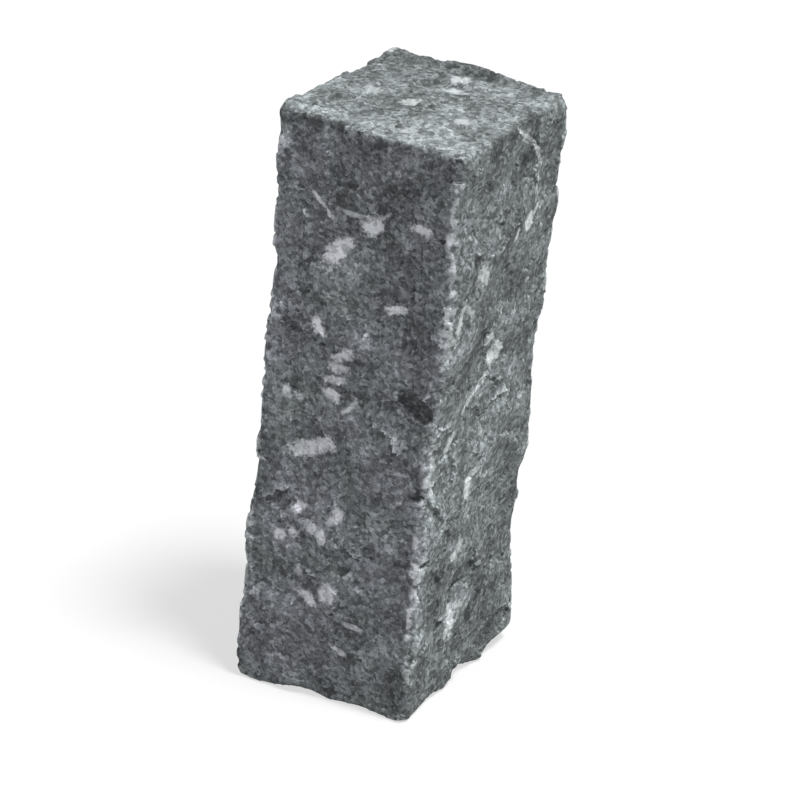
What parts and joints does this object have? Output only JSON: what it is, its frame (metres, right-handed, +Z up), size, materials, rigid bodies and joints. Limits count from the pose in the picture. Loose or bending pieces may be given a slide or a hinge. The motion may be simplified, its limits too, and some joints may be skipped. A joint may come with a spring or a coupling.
{
  "type": "stone palisade",
  "caption": "Short upright post of dark grey granite, roughly square, hand split with chipped edges, set in rows as an edging, step or low wall.",
  "frame": {"origin": "middle of the level foot, on the ground", "axes": "+Z up the post, -Y out of the front face, +X out of the right face"},
  "size_m": [0.1972, 0.181, 0.5046],
  "materials": {
    "granite": "split, matt"
  },
  "bodies": {
    "root": {"palisade": "granite"}
  },
  "joints": []
}
